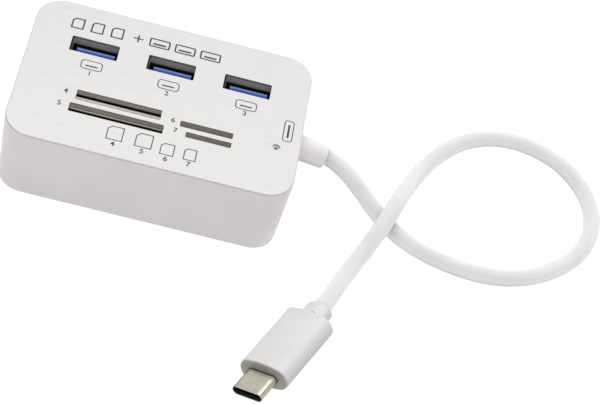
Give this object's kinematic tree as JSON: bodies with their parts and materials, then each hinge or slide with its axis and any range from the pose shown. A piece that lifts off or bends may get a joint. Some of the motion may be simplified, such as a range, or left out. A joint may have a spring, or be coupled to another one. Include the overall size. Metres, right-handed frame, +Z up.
{
  "type": "usb-c hub card reader",
  "caption": "Low white desktop hub with rounded corners, upright sockets and card slots in a brushed metal top, and a short looped cable that ends in a USB-C plug.",
  "frame": {"origin": "under the middle of the housing, on the surface that its feet stand on", "axes": "+X along the housing's long side towards the cable, +Y to the back, +Z up"},
  "size_m": [0.1624, 0.1138, 0.0222],
  "materials": {
    "case_white": "fine satin moulded surface",
    "plate_aluminium": "brushed along the long side, anodised",
    "screw_steel": "plated",
    "board_green": "solder mask",
    "chip_black": "moulded epoxy",
    "socket_steel": "stamped sheet",
    "capacitor_tan": "fired",
    "led_white": "moulded",
    "pipe_clear": "clear moulded",
    "cable_white": "soft satin jacket",
    "wire_red": "wire insulation",
    "plug_white": "satin overmould",
    "insulator_black": "moulded",
    "contact_gold": "gold plated",
    "tongue_blue": "moulded",
    "foot_rubber": "matt"
  },
  "bodies": {
    "root": {"lower_case": "case_white", "top_deck": "case_white", "face_plate": "plate_aluminium", "cover_screws": "screw_steel", "main_board": "board_green", "reader_board": "board_green", "hub_chip": "chip_black", "reader_chip": "chip_black", "crystal": "socket_steel", "capacitors": "capacitor_tan", "led": "led_white", "light_pipe": "pipe_clear", "strain_relief": "cable_white", "cable_leads": "wire_red", "cable": "cable_white", "plug_collar": "plug_white", "plug_overmould": "plug_white", "plug_shell": "socket_steel", "plug_insulator": "insulator_black", "plug_contacts": "contact_gold", "foot_front_left": "foot_rubber", "foot_front_right": "foot_rubber", "foot_rear_left": "foot_rubber", "foot_rear_right": "foot_rubber", "usb_shell_left": "socket_steel", "usb_insulator_left": "tongue_blue", "usb_contacts_left": "contact_gold", "usb_shell_middle": "socket_steel", "usb_insulator_middle": "tongue_blue", "usb_contacts_middle": "contact_gold", "usb_shell_right": "socket_steel", "usb_insulator_right": "tongue_blue", "usb_contacts_right": "contact_gold", "card_shell_rear_left": "socket_steel", "card_base_rear_left": "insulator_black", "card_contacts_rear_left": "contact_gold", "card_shell_front_left": "socket_steel", "card_base_front_left": "insulator_black", "card_contacts_front_left": "contact_gold", "card_shell_rear_right": "socket_steel", "card_base_rear_right": "insulator_black", "card_contacts_rear_right": "contact_gold", "card_shell_front_right": "socket_steel", "card_base_front_right": "insulator_black", "card_contacts_front_right": "contact_gold"}
  },
  "joints": []
}
